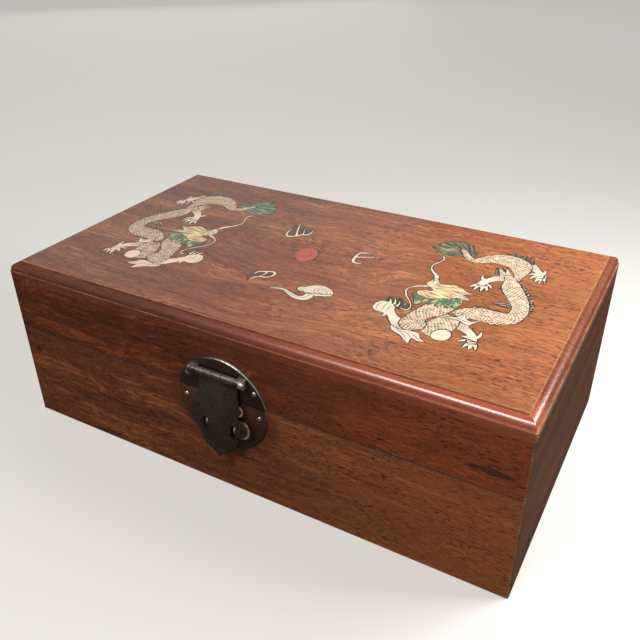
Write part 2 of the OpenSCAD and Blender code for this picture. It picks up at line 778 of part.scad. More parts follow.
base_front_board();
base_back_board();
base_left_board();
base_right_board();
base_bottom_panel();
lower_lock_plate();
lower_plate_nails();
lock_staples();
color(bronze) hinge_leaf(-hinge_x, -1, [-1, 1]);  // left_hinge_base_leaf
color(bronze) hinge_leaf(hinge_x, -1, [-1, 1]);  // right_hinge_base_leaf
base_leaf_nails();
hinge_pin(-hinge_x);  // left_hinge_pin
hinge_pin(hinge_x);  // right_hinge_pin
lid_front_board();
lid_back_board();
lid_left_board();
lid_right_board();
lid_top_board();
upper_lock_plate();
upper_plate_nails();
hasp_pin();
color(bronze) hinge_leaf(-hinge_x, 1, [0]);  // left_hinge_lid_leaf
color(bronze) hinge_leaf(hinge_x, 1, [0]);  // right_hinge_lid_leaf
lid_leaf_nails();
hasp();
pearl();
flame_comb();
flame_hook();
small_cloud();
ruyi_cloud();
dark_fillings();
dragon_piece(HEAD, "left", shell_yellow);  // left_dragon_head
dragon_piece(MANE, "left", shell_green);  // left_dragon_mane
dragon_piece(FLAMES, "left", shell_cream);  // left_dragon_flames
dragon_piece(NECK, "left", shell_cream);  // left_dragon_neck
dragon_piece(CHEST, "left", shell_cream);  // left_dragon_chest
dragon_piece(FLANK, "left", shell_cream);  // left_dragon_flank
dragon_piece(RUMP, "left", shell_cream);  // left_dragon_rump
dragon_piece(TAIL_FIN, "left", shell_green);  // left_dragon_tail_fin
dragon_piece(HIND_LEGS, "left", shell_cream);  // left_dragon_hind_legs
dragon_piece(FORE_LEGS, "left", shell_cream);  // left_dragon_fore_legs
dragon_piece(SPINES, "left", shell_grey);  // left_dragon_spines
dragon_piece(WHISKERS, "left", shell_cream);  // left_dragon_whiskers
dragon_piece(HEAD, "right", shell_yellow);  // right_dragon_head
dragon_piece(MANE, "right", shell_green);  // right_dragon_mane
dragon_piece(FLAMES, "right", shell_cream);  // right_dragon_flames
dragon_piece(NECK, "right", shell_cream);  // right_dragon_neck
dragon_piece(CHEST, "right", shell_cream);  // right_dragon_chest
dragon_piece(FLANK, "right", shell_cream);  // right_dragon_flank
dragon_piece(RUMP, "right", shell_cream);  // right_dragon_rump
dragon_piece(TAIL_FIN, "right", shell_green);  // right_dragon_tail_fin
dragon_piece(HIND_LEGS, "right", shell_cream);  // right_dragon_hind_legs
dragon_piece(FORE_LEGS, "right", shell_cream);  // right_dragon_fore_legs
dragon_piece(SPINES, "right", shell_grey);  // right_dragon_spines
dragon_piece(WHISKERS, "right", shell_cream);  // right_dragon_whiskers
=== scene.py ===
# %% [markdown]
# # An inlaid hardwood box
# The box is a joiner's piece: mitred boards, a moulded top and a round lock.
# Two dragons of polished shell chase a pearl across the lid. The solid parts
# come from the frame and keep their shapes. This notebook gives them their
# finishes and makes the scaled bodies, the engraving and the dark mastic.

import math

import bmesh
import bpy
import numpy as np
from mathutils import Matrix, Vector


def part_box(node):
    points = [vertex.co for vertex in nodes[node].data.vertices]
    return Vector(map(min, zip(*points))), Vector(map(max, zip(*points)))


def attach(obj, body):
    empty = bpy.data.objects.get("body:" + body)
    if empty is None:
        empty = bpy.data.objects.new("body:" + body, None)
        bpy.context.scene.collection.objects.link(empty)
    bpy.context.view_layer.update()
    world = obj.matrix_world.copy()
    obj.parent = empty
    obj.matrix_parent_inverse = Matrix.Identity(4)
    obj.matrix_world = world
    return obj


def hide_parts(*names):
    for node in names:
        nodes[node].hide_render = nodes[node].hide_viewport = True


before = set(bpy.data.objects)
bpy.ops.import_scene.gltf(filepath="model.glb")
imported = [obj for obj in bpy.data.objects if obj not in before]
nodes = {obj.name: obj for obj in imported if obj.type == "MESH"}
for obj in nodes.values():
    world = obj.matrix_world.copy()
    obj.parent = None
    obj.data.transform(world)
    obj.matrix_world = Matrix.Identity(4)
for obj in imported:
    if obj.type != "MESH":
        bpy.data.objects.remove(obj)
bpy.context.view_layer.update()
MM = 0.001
print("nodes in the frame:", len(nodes))

# %% [markdown]
# ## Measures taken from the frame
# Every pattern has to follow the solid pieces, so the measures that the finishes
# need are read from the boxes of the nodes and kept in millimetres. The few that
# a box doesn't give, such as the moulding's, are written here once.

# %% Measures


def corners(node):
    """The lowest and highest corner of a node, in millimetres."""
    low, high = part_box(node)
    return np.array(low) / MM, np.array(high) / MM


top_low, top_high = corners("lid_top_board")
half_w, half_d, top_z = top_high
joint_z = corners("base_front_board")[1][2]
pin_low, pin_high = corners("hasp_pin")
plate_low, plate_high = corners("lower_lock_plate")
plate_r = (plate_high[0] - plate_low[0]) / 2
plate_x = (plate_high[0] + plate_low[0]) / 2
plate_z = plate_low[2] + plate_r
left_low, left_high = corners("base_left_board")
wall_t = round(float(left_high[0] - left_low[0]), 3)
# The flat field of the lid starts field_inset in from the edge of its board, and
# the lower arris of the moulding lies mould_drop below the field
field_inset = 5.7
mould_drop = 5.5
# The left dragon is the right one turned over about x = TURN_X, and lies
# TURN_DROP nearer the front
TURN_X, TURN_DROP = -1.5, 1.5
print("top of the lid at", round(float(top_z), 2), "mm, joint at", round(float(joint_z), 2))
print("boards", wall_t, "mm thick")

# %% [markdown]
# ## Camera
# A lens of about 41 mm on a 36 mm sensor stands well above the box and looks
# down at it past its front right corner. A Track To constraint could aim it.
# Here the camera is built from the way it looks, because a small roll is then
# one more turn about that line.

# %% Camera
CAMERA_PLACE = Vector((204.9, -351.6, 309.7)) * MM
CAMERA_AZIMUTH, CAMERA_ELEVATION, CAMERA_ROLL = (math.radians(a) for a in (29.82, 30.71, 0.69))
CAMERA_LENS = 40.88

camera_data = bpy.data.cameras.new("camera")
camera_data.lens = CAMERA_LENS
camera_data.sensor_width = 36
camera = bpy.data.objects.new("camera", camera_data)
bpy.context.scene.collection.objects.link(camera)
back = Vector((
    math.sin(CAMERA_AZIMUTH) * math.cos(CAMERA_ELEVATION),
    -math.cos(CAMERA_AZIMUTH) * math.cos(CAMERA_ELEVATION),
    math.sin(CAMERA_ELEVATION),
))
level_right = Vector((0, 0, 1)).cross(back).normalized()
level_up = back.cross(level_right)
right = level_right * math.cos(CAMERA_ROLL) - level_up * math.sin(CAMERA_ROLL)
up = back.cross(right)
camera.matrix_world = Matrix.Translation(CAMERA_PLACE) @ Matrix((right, up, back)).transposed().to_4x4()
bpy.context.scene.camera = camera
print("camera at", [round(c, 3) for c in CAMERA_PLACE])

# %% [markdown]
# ## Shader maths
# A finish is mostly arithmetic on coordinates. One small class wraps a socket,
# so that `1 - mask` adds its Math node, and one method adds any other node.

# %% Shader maths


class Value:
    """A socket of a material, with Python's arithmetic."""

    def __init__(self, finish, socket):
        self.finish = finish
        self.socket = socket

    def math(self, operation, *others):
        """One Math node on this value and others."""
        inputs = dict(enumerate((self, *others)))
        return self.finish.node("Math", {"operation": operation}, inputs)

    def __add__(self, other):
        return self.math("ADD", other)

    def __radd__(self, other):
        return self.math("ADD", other)

    def __sub__(self, other):
        return self.math("SUBTRACT", other)

    def __rsub__(self, other):
        return self.finish.node("Math", {"operation": "SUBTRACT"}, {0: other, 1: self})

    def __mul__(self, other):
        return self.math("MULTIPLY", other)

    def __rmul__(self, other):
        return self.math("MULTIPLY", other)

    def __truediv__(self, other):
        return self.math("DIVIDE", other)

    def __rtruediv__(self, other):
        return self.finish.node("Math", {"operation": "DIVIDE"}, {0: other, 1: self})

    def __abs__(self):
        return self.math("ABSOLUTE")

    def rise(self, low, high):
        """0 below low and 1 above high, smooth between them."""
        settings = {"interpolation_type": "SMOOTHSTEP"}
        inputs = {"Value": self, "From Min": low, "From Max": high}
        return self.finish.node("MapRange", settings, inputs)

    def fall(self, low, high):
        """1 below low and 0 above high."""
        return 1 - self.rise(low, high)


class Finish:
    """A material under construction. Constants go straight on the shader's sockets."""

    def __init__(self, name, **constants):
        self.material = bpy.data.materials.new(name)
        self.material.use_nodes = True
        self.tree = self.material.node_tree
        self.tree.nodes.clear()
        self.shader = self.tree.nodes.new("ShaderNodeBsdfPrincipled")
        output = self.tree.nodes.new("ShaderNodeOutputMaterial")
        self.tree.links.new(self.shader.outputs[0], output.inputs[0])
        for socket, value in constants.items():
            self.feed(self.shader.inputs[socket.replace("_", " ")], value)

    def feed(self, socket, value):
        """Links a Value to a socket, or sets the socket to a number or colour."""
        if isinstance(value, Value):
            self.tree.links.new(value.socket, socket)
        elif isinstance(value, tuple) and len(value) == 3 and socket.type == "RGBA":
            socket.default_value = (*value, 1)
        else:
            socket.default_value = value

    def node(self, kind, settings=None, inputs=None, output=0):
        """Adds a node, with its settings first, and returns one of its outputs."""
        made = self.tree.nodes.new("ShaderNode" + kind)
        for name, setting in (settings or {}).items():
            setattr(made, name, setting)
        for name, value in (inputs or {}).items():
            self.feed(made.inputs[name], value)
        return Value(self, made.outputs[output])

    def place(self):
        """Object coordinates in millimetres, as three values."""
        point = self.node("TexCoord", output="Object")
        split = [self.node("SeparateXYZ", inputs={0: point}, output=i) for i in range(3)]
        return [part * (1 / MM) for part in split]

    def vector(self, *parts):
        """One vector from three values or numbers."""
        return self.node("CombineXYZ", inputs=dict(enumerate(parts)))

    def noise(self, *parts, detail=3.0, roughness=0.5):
        """Noise between 0 and 1 whose lumps are one unit of parts across."""
        inputs = {"Vector": self.vector(*parts), "Scale": 1.0, "Detail": detail}
        return self.node("TexNoise", inputs={**inputs, "Roughness": roughness})

    def mix(self, factor, a, b):
        """Colour a where factor is 0 and b where it is 1."""
        return self.node("Mix", {"data_type": "RGBA"}, {0: factor, 6: a, 7: b}, output=2)

    def bump(self, height, strength, distance_mm):
        """Feeds a height, in units of distance_mm, to the shader's normal."""
        inputs = {"Height": height, "Strength": strength, "Distance": distance_mm * MM}
        self.feed(self.shader.inputs["Normal"], self.node("Bump", inputs=inputs))

    def surface(self, **sockets):
        """Links what changes over the surface."""
        for name, value in sockets.items():
            self.feed(self.shader.inputs[name.replace("_", " ")], value)
        return self.material


def linear(r, g, b):
    """A colour as it looks on screen, from 0 to 255, as the shader needs it."""
    scaled = np.array([r, g, b]) / 255
    value = np.where(scaled > 0.04045, ((scaled + 0.055) / 1.055) ** 2.4, scaled / 12.92)
    return tuple(float(v) for v in value)


def times(colour, *factors):
    """A colour multiplied by one factor, or by one for each channel."""
    return tuple(float(v) for v in np.minimum(np.array(colour) * factors, 1))


print("a finish starts from these inputs:", len(Finish("trial").shader.inputs))
bpy.data.materials.remove(bpy.data.materials["trial"])

# %% [markdown]
# ## Wood
# The boards are a red hardwood with open pores. A texture made from real boards
# would hold its own light and show its seams, so the figure is built from noise:
# wide bands, streaks and fibres drawn out along the grain, and short dark flecks
# that gather in patches. A slow drift shifts them all, so that the lines wander.

# %% Figure of the wood
# The lines arch over this ellipse on the lid, given by its middle and its size
ARCH = (-10, -30), (80, 55)


def spot(across, up, middle, size):
    """1 inside an ellipse, fading over its rim."""
    u = (across - middle[0]) / size[0]
    v = (up - middle[1]) / size[1]
    return (u * u + v * v).fall(0.5, 1.2)


def figure(f, x, y, z, grain):
    """The layers of the figure, from the widest to the finest; grain is "x" or "y".

    Each is noise of the place, moved across the grain by the drift and scaled
    less along the grain than across it, so that its lumps are long.
    """
    along, across = (x, y) if grain == "x" else (y, x)
    drift = (f.noise(along * 0.017, across * 0.02, z * 0.02, detail=2.0) - 0.5) * 22
    drift = drift + spot(x, y, *ARCH) * 10
    u, v = across + drift, z + drift * 0.5
    bands = f.noise(along * 0.008, u * 0.045, v * 0.085, detail=4.0, roughness=0.6)
    streaks = f.noise(along * 0.028, u * 0.45, v * 0.45, detail=5.0, roughness=0.65)
    fibres = f.noise(along * 0.1, u * 1.8, v * 1.8, detail=3.0, roughness=0.6)
    gather = f.noise(along * 0.02, u * 0.05, v * 0.08, detail=3.0).rise(0.36, 0.60)
    fleck = f.noise(along * 0.2, u * 1.25, v * 1.25, detail=2.0, roughness=0.55).rise(0.545, 0.64)
    pores = f.noise(along * 0.25, u * 1.9, v * 1.9, detail=2.0).rise(0.53, 0.64)
    return bands, streaks, fibres, gather, fleck, pores


print("the figure arches over an ellipse", 2 * ARCH[1][0], "mm wide")

# %% [markdown]
# ## Use, age and painted light
# Hands and cloths rub the arrises pale, and highlights are painted on them as well.
# The wood is darker round the lock, painted shade darkens the joint, a highlight is
# painted on the moulding, and the inside was left bare. Such marks could be painted by hand.
# Worked out from the coordinates, they stay on their arris when a size changes.

# %% Use, age and painted light
# Marks on the front, by middle and size: a knot in the base, a streak in the lid
BASE_KNOT = (-155, 52), (3.0, 2.2)
LID_STREAK = (147, 78), (13, 2.0)
# The wood is darker a little right of the lock plate's middle and below it
DARKENED_ROUND_LOCK = (plate_x + 2, plate_z - 3), (plate_r + 6, plate_r + 5)


# The moulding's red, and a paler red painted on it as a highlight towards the right
MOULDING_RED, MOULDING_HIGHLIGHT = linear(76, 24, 12), linear(166, 80, 54)


def edge_distances(x, y):
    """How far a point lies in from the nearest side, and from the other pair of sides."""
    side_x = half_w - abs(x)
    side_y = half_d - abs(y)
    return side_x.math("MINIMUM", side_y), side_x.math("MAXIMUM", side_y)


def wear_and_highlight_on_arrises(f, x, y, z):
    """1 where the arrises are palest, from wear and from painted highlights: moulding, field, corners
    and foot.
    """
    patchy = f.noise(x * 0.09, y * 0.09, z * 0.2, detail=4.0, roughness=0.7).rise(0.40, 0.62)
    edge, other_edge = edge_distances(x, y)
    upright = other_edge.fall(0.5, 1.3)
    lower = abs(z - (top_z - mould_drop)).fall(0.25, 0.6) * edge.fall(0.3, 0.8)
    field = abs(edge - field_inset).fall(0.15, 0.5) * z.rise(top_z - 0.5, top_z - 0.1)
    foot = z.fall(0.3, 1.2)
    lines = lower * 0.6 + field * 0.7 + upright * 0.45 + foot * 0.25
    return (lines * (0.3 + 0.7 * patchy)).math("MINIMUM", 1)


def moulding_with_painted_highlight(f, x, y, z, to_right):
    """The moulding's red, with a highlight painted paler along the front towards the right."""
    upper = z.rise(top_z - mould_drop - 2, top_z - mould_drop + 0.5)
    # Painted highlight: paler towards the right, most on the moulding's upper part, along the front
    brightened = to_right * (0.3 + 0.7 * upper) * y.fall(5 - half_d, 25 - half_d)
    return f.mix(brightened + 0.15 * to_right, MOULDING_RED, MOULDING_HIGHLIGHT)


# How far the darker wood round the lock reaches
print("darkened wood round the lock reaches", round(float(DARKENED_ROUND_LOCK[1][0]), 1), "mm from its middle")

# %% [markdown]
# ## The boards' finish
# A board's colour starts from three tones and gets paler towards the right, which
# is painted light; the end boards take the tones darkened to about half, as painted
# shade. The dark marks, the painted shade along the joint and the wear and painted
# highlights on the arrises are then mixed over it. The lacquer is the coat: worn
# on the arrises, missing inside and in the joint, and thickest on the moulding
# towards the right, where its colour also carries a painted highlight.

# %% The boards' finish
BARE_WOOD = linear(126, 84, 56)
# The pale colour of rubbed arrises, which also stands for highlights painted on them
RUBBED_AND_HIGHLIT_WOOD = linear(206, 152, 120)


def wood(name, grain, dark, middle, light, flecks, lacquer, painted_light_right=0):
    """A board whose grain runs along "x" or "y", between three tones.

    flecks and lacquer are how much of each there is, and painted_light_right is how
    much of the light tone shows at the right end, as painted light.
    """
    f = Finish(name, Coat_IOR=1.5, Coat_Roughness=0.17, IOR=1.45)
    x, y, z = f.place()
    bands, streaks, fibres, gather, fleck, pores = figure(f, x, y, z, grain)
    tone = bands.rise(0.30, 0.70) * 0.45 + streaks.rise(0.30, 0.70) * 0.55
    colour = f.mix(tone.rise(0.05, 0.5), dark, middle)
    colour = f.mix(tone.rise(0.5, 0.95), colour, light)
    colour = f.mix(fibres.rise(0.45, 0.70) * 0.65, colour, dark)
    # Painted light: the board gets paler towards its right end
    if painted_light_right:
        colour = f.mix(x.rise(-half_w / 3, half_w) * painted_light_right, colour, light)
    deep = times(dark, 0.45, 0.32, 0.3)
    colour = f.mix(fleck * (0.3 + 0.7 * gather) * flecks + pores * 0.5, colour, deep)

    front = y.fall(1 - half_d, 2 - half_d)
    knot = spot(x, z, *BASE_KNOT) + spot(x, z, *LID_STREAK) * fibres.rise(0.35, 0.5)
    colour = f.mix(knot * front * 0.85, colour, deep)
    # The wood is darker round the lock plate, a little right of and below its middle
    colour = f.mix(spot(x, z, *DARKENED_ROUND_LOCK) * front * 0.5, colour, deep)
    edge, _ = edge_distances(x, y)
    inside = edge.rise(wall_t - 0.4, wall_t - 0.1) * z.fall(top_low[2] + 0.1, top_low[2] + 0.5)
    colour = f.mix(inside * 0.45, colour, BARE_WOOD)
    moulding = edge.fall(field_inset - 0.5, field_inset) * z.rise(top_low[2], top_low[2] + 0.1)
    to_right = x.rise(-half_w / 2, half_w)
    # Painted highlight along the front of the moulding, paler towards the right
    colour = f.mix(moulding * 0.7, colour, moulding_with_painted_highlight(f, x, y, z, to_right))
    # Painted shade: the wood darkens along the joint between lid and base, where the gap lies in shade;
    # the lacquer is also missing there
    seam = abs(z - joint_z).fall(0.5, 1.0) * edge.fall(0.8, 1.4)
    colour = f.mix(seam * 0.7, colour, deep)
    # Pale arrises: partly wear, partly painted highlight along the moulding, the field's edge and the
    # corners
    wear_and_highlight = wear_and_highlight_on_arrises(f, x, y, z)
    colour = f.mix(wear_and_highlight * 0.75, colour, RUBBED_AND_HIGHLIT_WOOD)

    coat = lacquer * (0.75 + 0.5 * bands) * (1 + moulding * (2.5 * to_right - 1))
    coat = coat * (1 - 0.5 * wear_and_highlight) * (1 - inside) * (1 - seam)
    dull = 0.2 * inside + 0.4 * seam + moulding * (0.2 - 0.4 * to_right)
    f.bump((1 - pores) * 0.5 - fleck * 0.4 + fibres * 0.3, 0.3, 0.1)
    return f.surface(Base_Color=colour, Roughness=0.40 + 0.16 * streaks + dull, Coat_Weight=coat)


def refinish(node, finish):
    """Takes the frame's plain material off a node and gives it a finish."""
    nodes[node].data.materials.clear()
    nodes[node].data.materials.append(finish)


LID_TONES = linear(64, 23, 10), linear(99, 41, 17), linear(150, 74, 32)
BASE_TONES = linear(76, 35, 18), linear(116, 60, 31), linear(166, 94, 52)
TOP_TONES = linear(90, 44, 28), linear(138, 76, 46), linear(188, 118, 70)
BARE_TONES = linear(96, 60, 38), BARE_WOOD, linear(150, 106, 72)
wood_of = {
    "lid_top_board": wood("top wood", "x", *TOP_TONES, flecks=0.85, lacquer=0.4, painted_light_right=0.35),
    "base_bottom_panel": wood("bare wood", "x", *BARE_TONES, flecks=0.5, lacquer=0),
}
for body, tones in (("base", BASE_TONES), ("lid", LID_TONES)):
    long_name, end_name = body + " front and back wood", body + " end wood"
    long_wood = wood(long_name, "x", *tones, flecks=0.8, lacquer=0.45, painted_light_right=0.5)
    # Painted shade: the end boards are a copy of the front and back wood with its tones darkened to
    # about half
    shaded_tones = [times(tone, 0.48) for tone in tones]
    shaded_end_wood = wood(end_name, "y", *shaded_tones, flecks=0.6, lacquer=0.1)
    for place in ("front", "back"):
        wood_of[f"{body}_{place}_board"] = long_wood
    for place in ("left", "right"):
        wood_of[f"{body}_{place}_board"] = shaded_end_wood
for node, finish in wood_of.items():
    refinish(node, finish)
print("wooden pieces:", len(wood_of))

# %% [markdown]
# ## Old brass
# The lock has gone brown. A brown paint would look like plastic, so the patina
# is a dark metallic colour that changes slowly, and darker towards the plate's
# right side and foot. Bright metal comes through where fingers and the hasp rub
# it, and the same bright tone is painted on as a highlight: on the plate's upper
# right rim and on the barrel's crest and right end. Rubbing also shows as brassy
# lines round the hasp's right curl and lobe. The staples, the nails and the pin stay bright.

# %% Old brass
silvery = linear(222, 214, 200)
worn_brass = linear(206, 176, 120)
# The hasp's right curl and lobe: across, distance below the pin and radius. The
# hasp hangs HASP_HANG off the plate
HASP_CURLS = (13.0, 17.4, 3.4), (15.0, 28.8, 5.8)
HASP_HANG = math.radians(6)


def rubbed_through_and_highlit(x, y, z, radius, grit):
    """1 where the patina is rubbed off the plate's rim and the barrel, with a painted highlight on the
    rim's upper right and on the barrel's crest and right end.
    """
    rim = radius.rise(plate_r - 0.35, plate_r - 0.2) * z.rise(joint_z - 14, joint_z + 3)
    rim = rim * x.rise(plate_x - 16, plate_x + 2) * y.fall(0, 1) * (0.25 + 0.35 * grit.rise(0.3, 0.5))
    right_end = x.rise(pin_high[0] - 3.4, pin_high[0] - 2.2) * z.rise(pin_low[2] - 2, pin_low[2] - 1)
    crest = z.rise(pin_high[2] + 0.1, pin_high[2] + 0.5) * grit.rise(0.4, 0.5) * 0.6
    barrel = y.fall(-half_d - 1.6, -half_d - 1.2) * z.fall(pin_high[2] + 3, pin_high[2] + 4)
    return rim + (right_end + crest) * barrel


def old_brass(name, patina, bright, polish):
    """Patinated brass; polish is how much of the bright tone shows all over."""
    f = Finish(name, IOR=1.5)
    x, y, z = f.place()
    cloud = f.noise(x * 0.08, y * 0.08, z * 0.08, detail=3.0)
    grit = f.noise(x * 1.1, y * 1.1, z * 1.1, detail=3.0, roughness=0.6)
    scratches = f.noise(x * 0.4, y * 0.6, z * 4.0, detail=2.0, roughness=0.7)
    off_x, off_z = x - plate_x, z - plate_z
    radius = (off_x * off_x + off_z * off_z).math("SQRT")
    # Bright metal: partly patina rubbed off, partly a highlight painted on the rim, the barrel's crest
    # and its right end
    worn = rubbed_through_and_highlit(x, y, z, radius, grit) + polish * grit.rise(0.42, 0.6)
    brightened = worn.math("MINIMUM", 1) * (0.6 + 0.4 * scratches.rise(0.35, 0.6))
    mottled = cloud.rise(0.35, 0.65) * 0.6 + grit.rise(0.5, 0.7) * 0.2
    colour = f.mix(mottled, patina, times(patina, 1.7))
    # The patina is darker towards the plate's right side and foot
    right_and_foot_darkening = off_x.rise(-8, 22) * 0.4 + off_z.fall(-20, 6) * 0.5
    colour = f.mix(right_and_foot_darkening * y.fall(0, 1), colour, times(patina, 0.3))
    colour = f.mix(brightened, colour, bright)
    for middle_x, drop, size in HASP_CURLS:
        u, v = off_x - middle_x, (z - pin_low[2] + drop) / math.cos(HASP_HANG)
        away = (u * u + v * v).math("SQRT")
        line = away.rise(size - 1.3, size - 0.5) * away.fall(size + 0.2, size + 0.5)
        line = line * u.rise(0, size * 0.7) * y.fall(-half_d - 3.0, -half_d - 2.4)
        colour = f.mix(line * (0.4 + 0.5 * grit.rise(0.4, 0.55)), colour, worn_brass)
    f.bump(grit * 0.5 + scratches * 0.3, 0.12, 0.08)
    roughness = 0.42 - 0.14 * brightened + 0.16 * (cloud - 0.5)
    return f.surface(Base_Color=colour, Metallic=0.5 + 0.45 * brightened, Roughness=roughness)


upper_brass = old_brass("brown plate brass", linear(44, 32, 26), silvery, 0.03)
hasp_brass = old_brass("hasp brass", linear(56, 43, 34), silvery, 0.05)
lower_brass = old_brass("lower plate brass", linear(92, 60, 42), silvery, 0.02)
nail_brass = old_brass("nail brass", linear(112, 92, 70), silvery, 0.9)
staple_brass = old_brass("staple wire", linear(190, 180, 160), silvery, 1.0)
hinge_brass = old_brass("hinge brass", linear(66, 50, 34), worn_brass, 0.2)
metal_of = {
    "upper_lock_plate": upper_brass, "hasp": hasp_brass, "lower_lock_plate": lower_brass,
    "upper_plate_nails": nail_brass, "lower_plate_nails": nail_brass, "lock_staples": staple_brass,
    "hasp_pin": nail_brass, "base_leaf_nails": nail_brass, "lid_leaf_nails": nail_brass,
}
metal_of.update({node: hinge_brass for node in nodes if "_hinge_" in node})
for node, finish in metal_of.items():
    refinish(node, finish)
print("metal finishes:", sorted({finish.name for finish in metal_of.values()}))

# %% [markdown]
# ## Shell
# Mother-of-pearl is pale, with slow bands of pink and green that follow its
# growth, under a polish. A thin-film shader could give its play of colour, but
# old engraved shell hardly shows it, so two noises over a tint are enough.

# %% Shell


def shell_colour(f, tint, depth):
    """A tint crossed by slow pink and green bands; depth is how much they show."""
    x, y, z = f.place()
    growth = f.noise(x * 0.12, y * 0.2, z * 0.1, detail=4.0, roughness=0.6)
    cloud = f.noise(x * 0.5, y * 0.5, z * 0.3, detail=3.0)
    pink, greenish = times(tint, 1.02, 0.84, 0.80), times(tint, 0.78, 0.90, 0.80)
    colour = f.mix(growth.rise(0.42, 0.62) * depth, tint, pink)
    colour = f.mix(cloud.rise(0.55, 0.75) * depth, colour, greenish)
    return f.mix(cloud.fall(0.30, 0.45) * depth * 0.7, colour, times(tint, 0.6)), cloud


def shell(name, tint, depth=0.6, patches=()):
    """A plain polished piece, with patches of other tints given as middle, size and tint."""
    f = Finish(name, IOR=1.55, Coat_IOR=1.5, Coat_Roughness=0.12)
    colour, cloud = shell_colour(f, tint, depth)
    x, y, _ = f.place()
    for middle, size, patch in patches:
        colour = f.mix(spot(x, y, middle, size), colour, patch)
    f.bump(cloud, 0.2, 0.08)
    return f.surface(Base_Color=colour, Roughness=0.35 + 0.2 * cloud, Coat_Weight=0.2 + 0.3 * cloud)


cream = linear(210, 203, 184)
rosy = linear(230, 205, 184)
# Orange shows at the left dragon's shoulder
SHOULDER = (-103.5, -26.5), (4.5, 3.5), linear(206, 118, 60)
cream_shell = shell("cream shell", cream)
rosy_shell = shell("rosy shell", rosy)
rose_shell = shell("rose shell", linear(172, 74, 62), 0.5)
shoulder_shell = shell("orange and rosy shell", rosy, patches=[SHOULDER])
dark_filling = shell("dark filling", linear(72, 60, 48))
mastic = shell("black mastic", linear(36, 25, 20), 0.3)
print("plain shell:", [finish.name for finish in (cream_shell, rosy_shell, rose_shell, shoulder_shell)])

# %% [markdown]
# ## Dyed and streaked shell
# The heads are yellow, the manes and tail fins green. Their streaks fan out from
# the piece's root, so the noise is read by angle round that root. Patches of
# other tints are given once, on the right dragon, and turned over for the left.

# %% Dyed and streaked shell


def streaked_shell(name, tint, streak, pale, root, patches):
    """A dyed piece with dark and pale streaks that fan out from its root.

    The root and the middle and size of each patch of another tint are [x, y].
    """
    f = Finish(name, IOR=1.55, Coat_IOR=1.5, Coat_Roughness=0.14)
    colour, cloud = shell_colour(f, tint, 0.7)
    x, y, _ = f.place()
    right_x = abs(x - TURN_X) + TURN_X
    for middle, size, patch in patches:
        colour = f.mix(spot(right_x, y, middle, size) * 0.7, colour, patch)
    off_x, off_y = right_x - root[0], y - root[1]
    angle = off_y.math("ARCTAN2", off_x)
    fan = f.noise(angle * 9, (off_x * off_x + off_y * off_y).math("SQRT") * 0.12, 0.0, detail=3.0)
    colour = f.mix(fan.rise(0.50, 0.58) * 0.8, colour, streak)
    colour = f.mix(fan.fall(0.38, 0.46) * 0.6, colour, pale)
    f.bump(fan, 0.3, 0.12)
    return f.surface(Base_Color=colour, Roughness=0.38 + 0.2 * cloud, Coat_Weight=0.2 + 0.3 * cloud)


# Each patch has its middle, its size and its tint
HEAD_PATCHES = [
    ((86, -7), (5, 5), linear(240, 224, 150)), ((77, -9), (6, 4), linear(222, 186, 140)),
    ((91, 5), (6, 4), linear(222, 194, 130)), ((76, 6), (3, 5), cream), ((98, -2), (5, 6), cream),
]
MANE_PATCHES = [((76, -14), (4, 6), linear(84, 108, 88)), ((91, -12), (7, 5), linear(70, 118, 88))]
FIN_PATCH = (83, 58), (5, 8), linear(44, 54, 60)
FIN_TIP_PATCH = (69, 52), (8, 3), linear(150, 148, 112)
HEAD_ROOT, MANE_ROOT, FIN_ROOT = (68, -4), (90, 6), (88, 46)
yellow, honey, pale_yellow = linear(204, 186, 148), linear(168, 128, 84), linear(240, 232, 208)
green, deep_green, pale_green = linear(100, 126, 92), linear(70, 92, 68), linear(196, 192, 146)
grey_green, soot_green, pale_grey_green = linear(90, 98, 76), linear(54, 62, 50), linear(160, 154, 122)
teal, deep_teal, pale_teal = linear(88, 126, 100), linear(46, 64, 52), linear(146, 162, 132)
head_shell = streaked_shell("yellow head shell", yellow, honey, pale_yellow, HEAD_ROOT, HEAD_PATCHES)
mane_shell = streaked_shell("green mane shell", green, deep_green, pale_green, MANE_ROOT, MANE_PATCHES)
fin_shell = streaked_shell(
    "green fin shell", grey_green, soot_green, pale_grey_green, FIN_ROOT, [FIN_TIP_PATCH, FIN_PATCH]
)
teal_fin_shell = streaked_shell("teal fin shell", teal, deep_teal, pale_teal, FIN_ROOT, [FIN_PATCH])
streaked = head_shell, mane_shell, fin_shell, teal_fin_shell
print("streaked shell:", [finish.name for finish in streaked])

# %% [markdown]
# ## Engraved scales
# The bodies carry rows of engraved arcs. Cut as geometry, some thousand arcs
# would be a heavy mesh, so they are a pattern on the pieces' own UV map, which
# bends with them: each row is half as high as a scale is wide, and is shifted by
# half a scale.

# %% Engraved scales
UV_MM = 100


